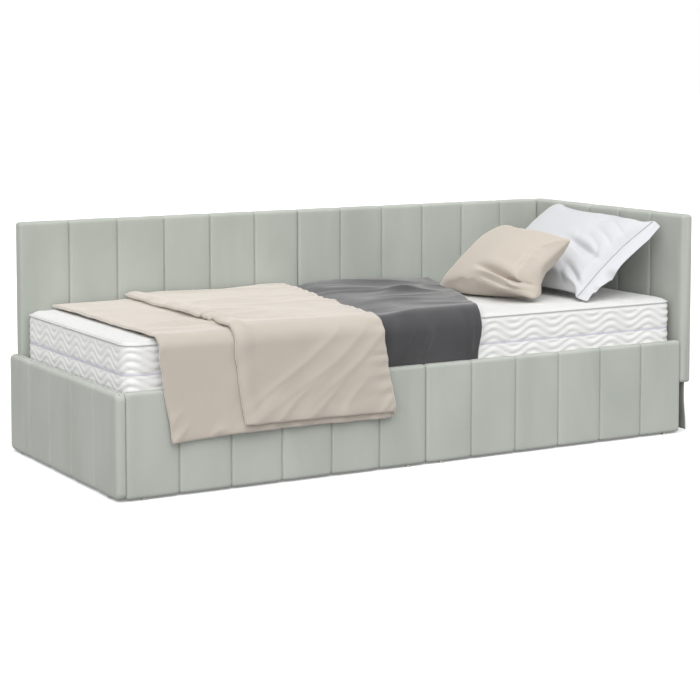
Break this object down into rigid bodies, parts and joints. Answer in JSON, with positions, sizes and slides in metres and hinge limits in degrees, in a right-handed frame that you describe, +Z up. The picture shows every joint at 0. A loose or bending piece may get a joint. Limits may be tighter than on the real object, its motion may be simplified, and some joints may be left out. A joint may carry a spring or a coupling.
{
  "type": "daybed",
  "caption": "Channel-quilted velvet daybed with a high back and one high end, a low front rail and foot, a slatted base, a sprung mattress and loose bedding.",
  "frame": {"origin": "on the floor, under the middle of the whole footprint, bedding included", "axes": "+X along the bed from the low foot panel to the high head panel, +Y from the low front rail to the high back panel, +Z up"},
  "size_m": [2.092, 0.894, 0.737],
  "materials": {
    "velvet": "quilted short-pile velvet, light sage grey",
    "foam": "open-cell polyurethane foam",
    "board": "plain particle board, unfinished",
    "coated_steel": "black powder coat, satin",
    "zinc_steel": "zinc plated",
    "pine": "planed softwood, unfinished",
    "slat_ply": "bent birch ply, clear lacquer",
    "webbing": "woven polyester webbing",
    "glide_plastic": "moulded, matt, light grey",
    "skirt_cloth": "plain velvet, hangs free",
    "mattress_fabric": "quilted knit with a woven sheen",
    "zip_tape": "nylon coil zip on woven tape",
    "spring_pocket": "spun-bonded pocket round each steel spring",
    "throw_fleece": "short-pile fleece, dark grey",
    "duvet_cloth": "washed cotton, warm cream",
    "white_cotton": "smooth cotton, cool white",
    "beige_cotton": "washed linen mix, beige",
    "filling": "hollow-fibre filling"
  },
  "bodies": {
    "frame": {"foot_panel_cover": "velvet", "foot_panel_foam": "foam", "foot_panel_board": "board", "front_rail_left_cover": "velvet", "front_rail_left_foam": "foam", "front_rail_left_board": "board", "front_rail_right_cover": "velvet", "front_rail_right_foam": "foam", "front_rail_right_board": "board", "back_panel_left_cover": "velvet", "back_panel_left_foam": "foam", "back_panel_left_board": "board", "back_panel_right_cover": "velvet", "back_panel_right_foam": "foam", "back_panel_right_board": "board", "head_panel_cover": "velvet", "head_panel_foam": "foam", "head_panel_board": "board", "corner_brackets_foot": "coated_steel", "corner_brackets_head": "coated_steel", "front_joint_hanger": "coated_steel", "back_joint_hanger": "coated_steel", "front_joint_plate": "coated_steel", "panel_bolts": "zinc_steel", "base_bolts": "zinc_steel", "threaded_inserts": "zinc_steel", "back_posts_left": "pine", "back_posts_right": "pine", "head_post_front": "pine", "head_post_back": "pine", "front_ledger_left": "pine", "front_ledger_right": "pine", "back_ledger_left": "pine", "back_ledger_right": "pine", "cross_beam": "pine", "centre_leg_front": "pine", "centre_leg_back": "pine", "slats_foot": "slat_ply", "slats_head": "slat_ply", "slat_tapes_foot": "webbing", "slat_tapes_head": "webbing", "floor_glides": "glide_plastic", "head_skirt": "skirt_cloth", "back_skirt_left": "skirt_cloth", "back_skirt_right": "skirt_cloth"},
    "mattress": {"mattress_cover": "mattress_fabric", "mattress_zip": "zip_tape", "mattress_foam_top": "foam", "mattress_foam_bottom": "foam", "mattress_foam_edge": "foam", "mattress_spring_core": "spring_pocket"},
    "throw": {"throw": "throw_fleece"},
    "duvet": {"duvet_cover": "duvet_cloth", "duvet_filling": "filling"},
    "white_pillow": {"white_pillow_case": "white_cotton", "white_pillow_filling": "filling"},
    "beige_pillow": {"beige_pillow_case": "beige_cotton", "beige_pillow_filling": "filling"}
  },
  "joints": [
    {"name": "mattress_lift", "type": "slide", "parent": "frame", "child": "mattress", "axis": [0, 0, 1], "range_m": [0, 0.4]},
    {"name": "throw_lift", "type": "slide", "parent": "mattress", "child": "throw", "axis": [0, 0, 1], "range_m": [0, 0.4]},
    {"name": "duvet_lift", "type": "slide", "parent": "throw", "child": "duvet", "axis": [0, 0, 1], "range_m": [0, 0.4]},
    {"name": "white_pillow_lift", "type": "slide", "parent": "mattress", "child": "white_pillow", "axis": [0, 0, 1], "range_m": [0, 0.4]},
    {"name": "beige_pillow_lift", "type": "slide", "parent": "white_pillow", "child": "beige_pillow", "axis": [0, 0, 1], "range_m": [0, 0.4]}
  ]
}
